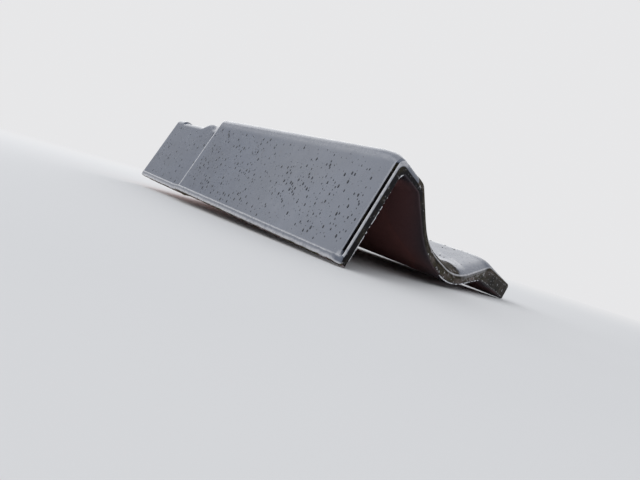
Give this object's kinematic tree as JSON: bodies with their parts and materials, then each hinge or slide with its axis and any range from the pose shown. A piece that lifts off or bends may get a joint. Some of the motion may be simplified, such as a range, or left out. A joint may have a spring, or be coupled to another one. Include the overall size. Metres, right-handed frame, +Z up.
{
  "type": "verge roof tile",
  "caption": "Left-hand verge roof tile of glazed clay with a side flap, a flat roll, a curved pan, a side lap and a set-back head with hanging nibs.",
  "frame": {"origin": "centre of the tile's box on the floor, with the tile standing as it rests unheld", "axes": "+Z up, +Y from the tail end to the head end, +X from the side flap across the pan to the side lap"},
  "size_m": [0.272, 0.4026, 0.1058],
  "materials": {
    "glazed_clay": "gloss black glaze over red fired clay, raw clay underneath and on the end faces"
  },
  "bodies": {
    "root": {"verge_tile": "glazed_clay"}
  },
  "joints": []
}
